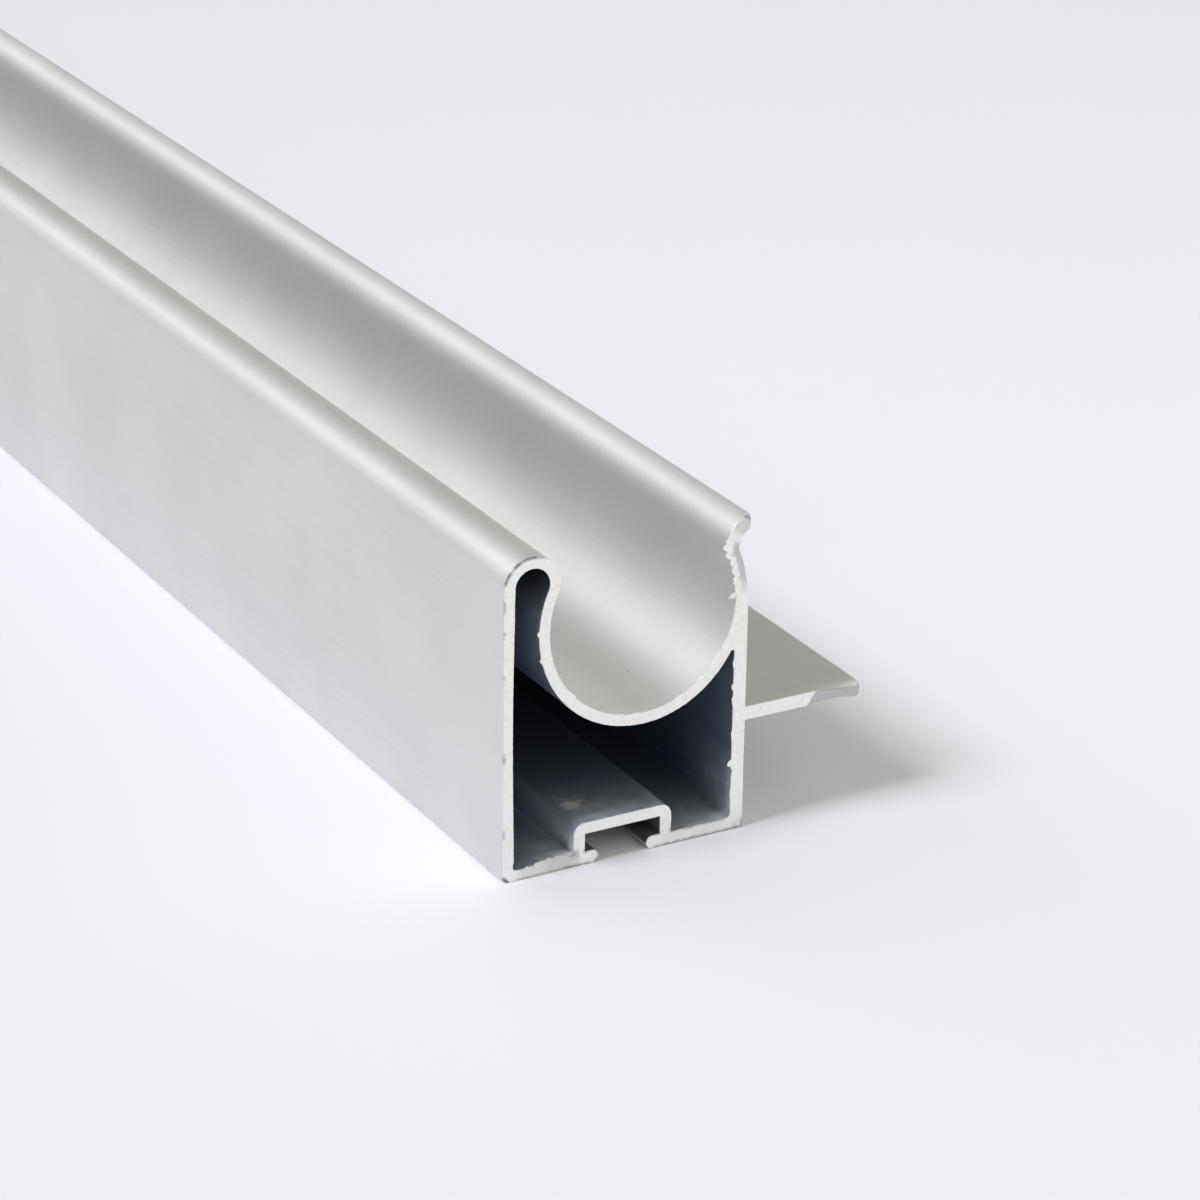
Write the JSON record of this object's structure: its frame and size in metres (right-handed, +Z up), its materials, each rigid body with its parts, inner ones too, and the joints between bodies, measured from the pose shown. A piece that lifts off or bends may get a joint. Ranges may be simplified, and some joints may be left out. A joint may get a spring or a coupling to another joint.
{
  "type": "aluminium extrusion profile",
  "caption": "Hollow aluminium extrusion for the edge of a board door: round finger trough between a bead and a lip, a flange that carries the board, and a seal slot in the base.",
  "frame": {"origin": "middle of the bar's underside, halfway along its length", "axes": "+Y along the bar away from the end that the picture shows, +Z up from the base, +X towards the flange"},
  "size_m": [0.036, 1, 0.03],
  "materials": {
    "anodised_aluminium": "satin anodised, with sawn ends"
  },
  "bodies": {
    "root": {"profile": "anodised_aluminium"}
  },
  "joints": []
}
